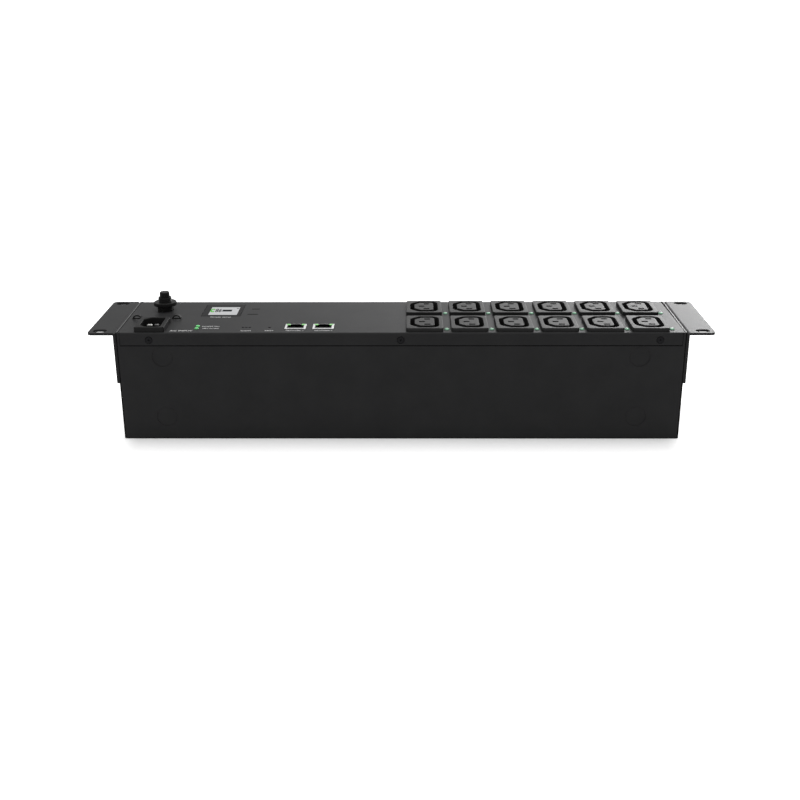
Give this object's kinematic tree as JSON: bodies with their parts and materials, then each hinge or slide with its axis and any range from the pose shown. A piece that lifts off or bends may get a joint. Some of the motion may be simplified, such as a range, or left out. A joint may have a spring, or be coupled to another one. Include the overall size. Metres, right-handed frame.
{
  "type": "rack power distribution unit",
  "caption": "Two-unit rack power distribution unit in a folded black case: keyed mains outlets with green lights, mains inlet, reset breaker, small display and network jacks.",
  "frame": {"origin": "centre of the rear face, on which the unit lies", "axes": "+Z out of the front panel, +X to the right along the panel, +Y to the edge that is the top in a rack"},
  "size_m": [0.4826, 0.0882, 0.1036],
  "materials": {
    "case_paint": "satin black powder coat",
    "screw_black": "black oxide steel",
    "outlet_plastic": "fine moulded grain",
    "inlet_plastic": "fine moulded grain",
    "breaker_plastic": "satin moulded",
    "breaker_nuts": "satin moulded",
    "contact_brass": "stamped",
    "pin_nickel": "nickel plated",
    "cover_glass": "polished, dark border",
    "display_plastic": "moulded",
    "jack_tin": "bright tin plate",
    "jack_plastic": "moulded",
    "jack_gold": "gold flash",
    "light_green": "clear green",
    "board_green": "solder mask",
    "switch_plastic": "moulded",
    "flat_cable": "flat cable jacket",
    "relay_plastic": "moulded",
    "support_zinc": "zinc plated",
    "capacitor_sleeve": "shrink sleeve",
    "transformer_tape": "winding tape",
    "lead_brown": "insulated wire",
    "lead_blue": "insulated wire",
    "lead_earth": "insulated wire",
    "cable_grey": "cable jacket"
  },
  "bodies": {
    "unit": {"front_panel": "case_paint", "rear_housing": "case_paint", "rack_ear_left": "case_paint", "rack_ear_right": "case_paint", "panel_screws": "screw_black", "ear_screws": "screw_black", "outlet_01": "outlet_plastic", "outlet_02": "outlet_plastic", "outlet_03": "outlet_plastic", "outlet_04": "outlet_plastic", "outlet_05": "outlet_plastic", "outlet_06": "outlet_plastic", "outlet_07": "outlet_plastic", "outlet_08": "outlet_plastic", "outlet_09": "outlet_plastic", "outlet_10": "outlet_plastic", "outlet_11": "outlet_plastic", "outlet_12": "outlet_plastic", "inlet_body": "inlet_plastic", "breaker_body": "breaker_plastic", "breaker_lock_nut": "breaker_nuts", "breaker_ring_nut": "breaker_nuts", "line_contacts": "contact_brass", "neutral_contacts": "contact_brass", "earth_contacts": "contact_brass", "breaker_tabs": "contact_brass", "inlet_line_pin": "pin_nickel", "inlet_neutral_pin": "pin_nickel", "inlet_earth_pin": "pin_nickel", "display_glass": "cover_glass", "display_module": "display_plastic", "jack_shield_1": "jack_tin", "jack_shield_2": "jack_tin", "jack_insert_1": "jack_plastic", "jack_insert_2": "jack_plastic", "jack_contacts": "jack_gold", "jack_lights": "light_green", "status_light_pipe": "light_green", "outlet_lights": "light_green", "control_board": "board_green", "relay_board": "board_green", "supply_board": "board_green", "buzzer": "switch_plastic", "reset_switch": "switch_plastic", "flat_cables": "flat_cable", "relays": "relay_plastic", "lead_terminals": "relay_plastic", "filter_capacitor": "relay_plastic", "board_supports": "support_zinc", "earth_nut": "support_zinc", "storage_capacitor": "capacitor_sleeve", "supply_transformer": "transformer_tape", "line_lead": "lead_brown", "breaker_lead": "lead_brown", "neutral_lead": "lead_blue", "earth_lead": "lead_earth", "board_cables": "cable_grey"},
    "breaker_button": {"breaker_button": "breaker_plastic"},
    "reset_plunger": {"reset_plunger": "switch_plastic"}
  },
  "joints": [
    {"name": "breaker_press", "type": "slide", "parent": "unit", "child": "breaker_button", "axis": [0, 0, -1], "range_m": [0, 0.0035], "stiffness_N_per_m": 800},
    {"name": "reset_press", "type": "slide", "parent": "unit", "child": "reset_plunger", "axis": [0, 0, -1], "range_m": [0, 0.0003], "stiffness_N_per_m": 1500}
  ]
}
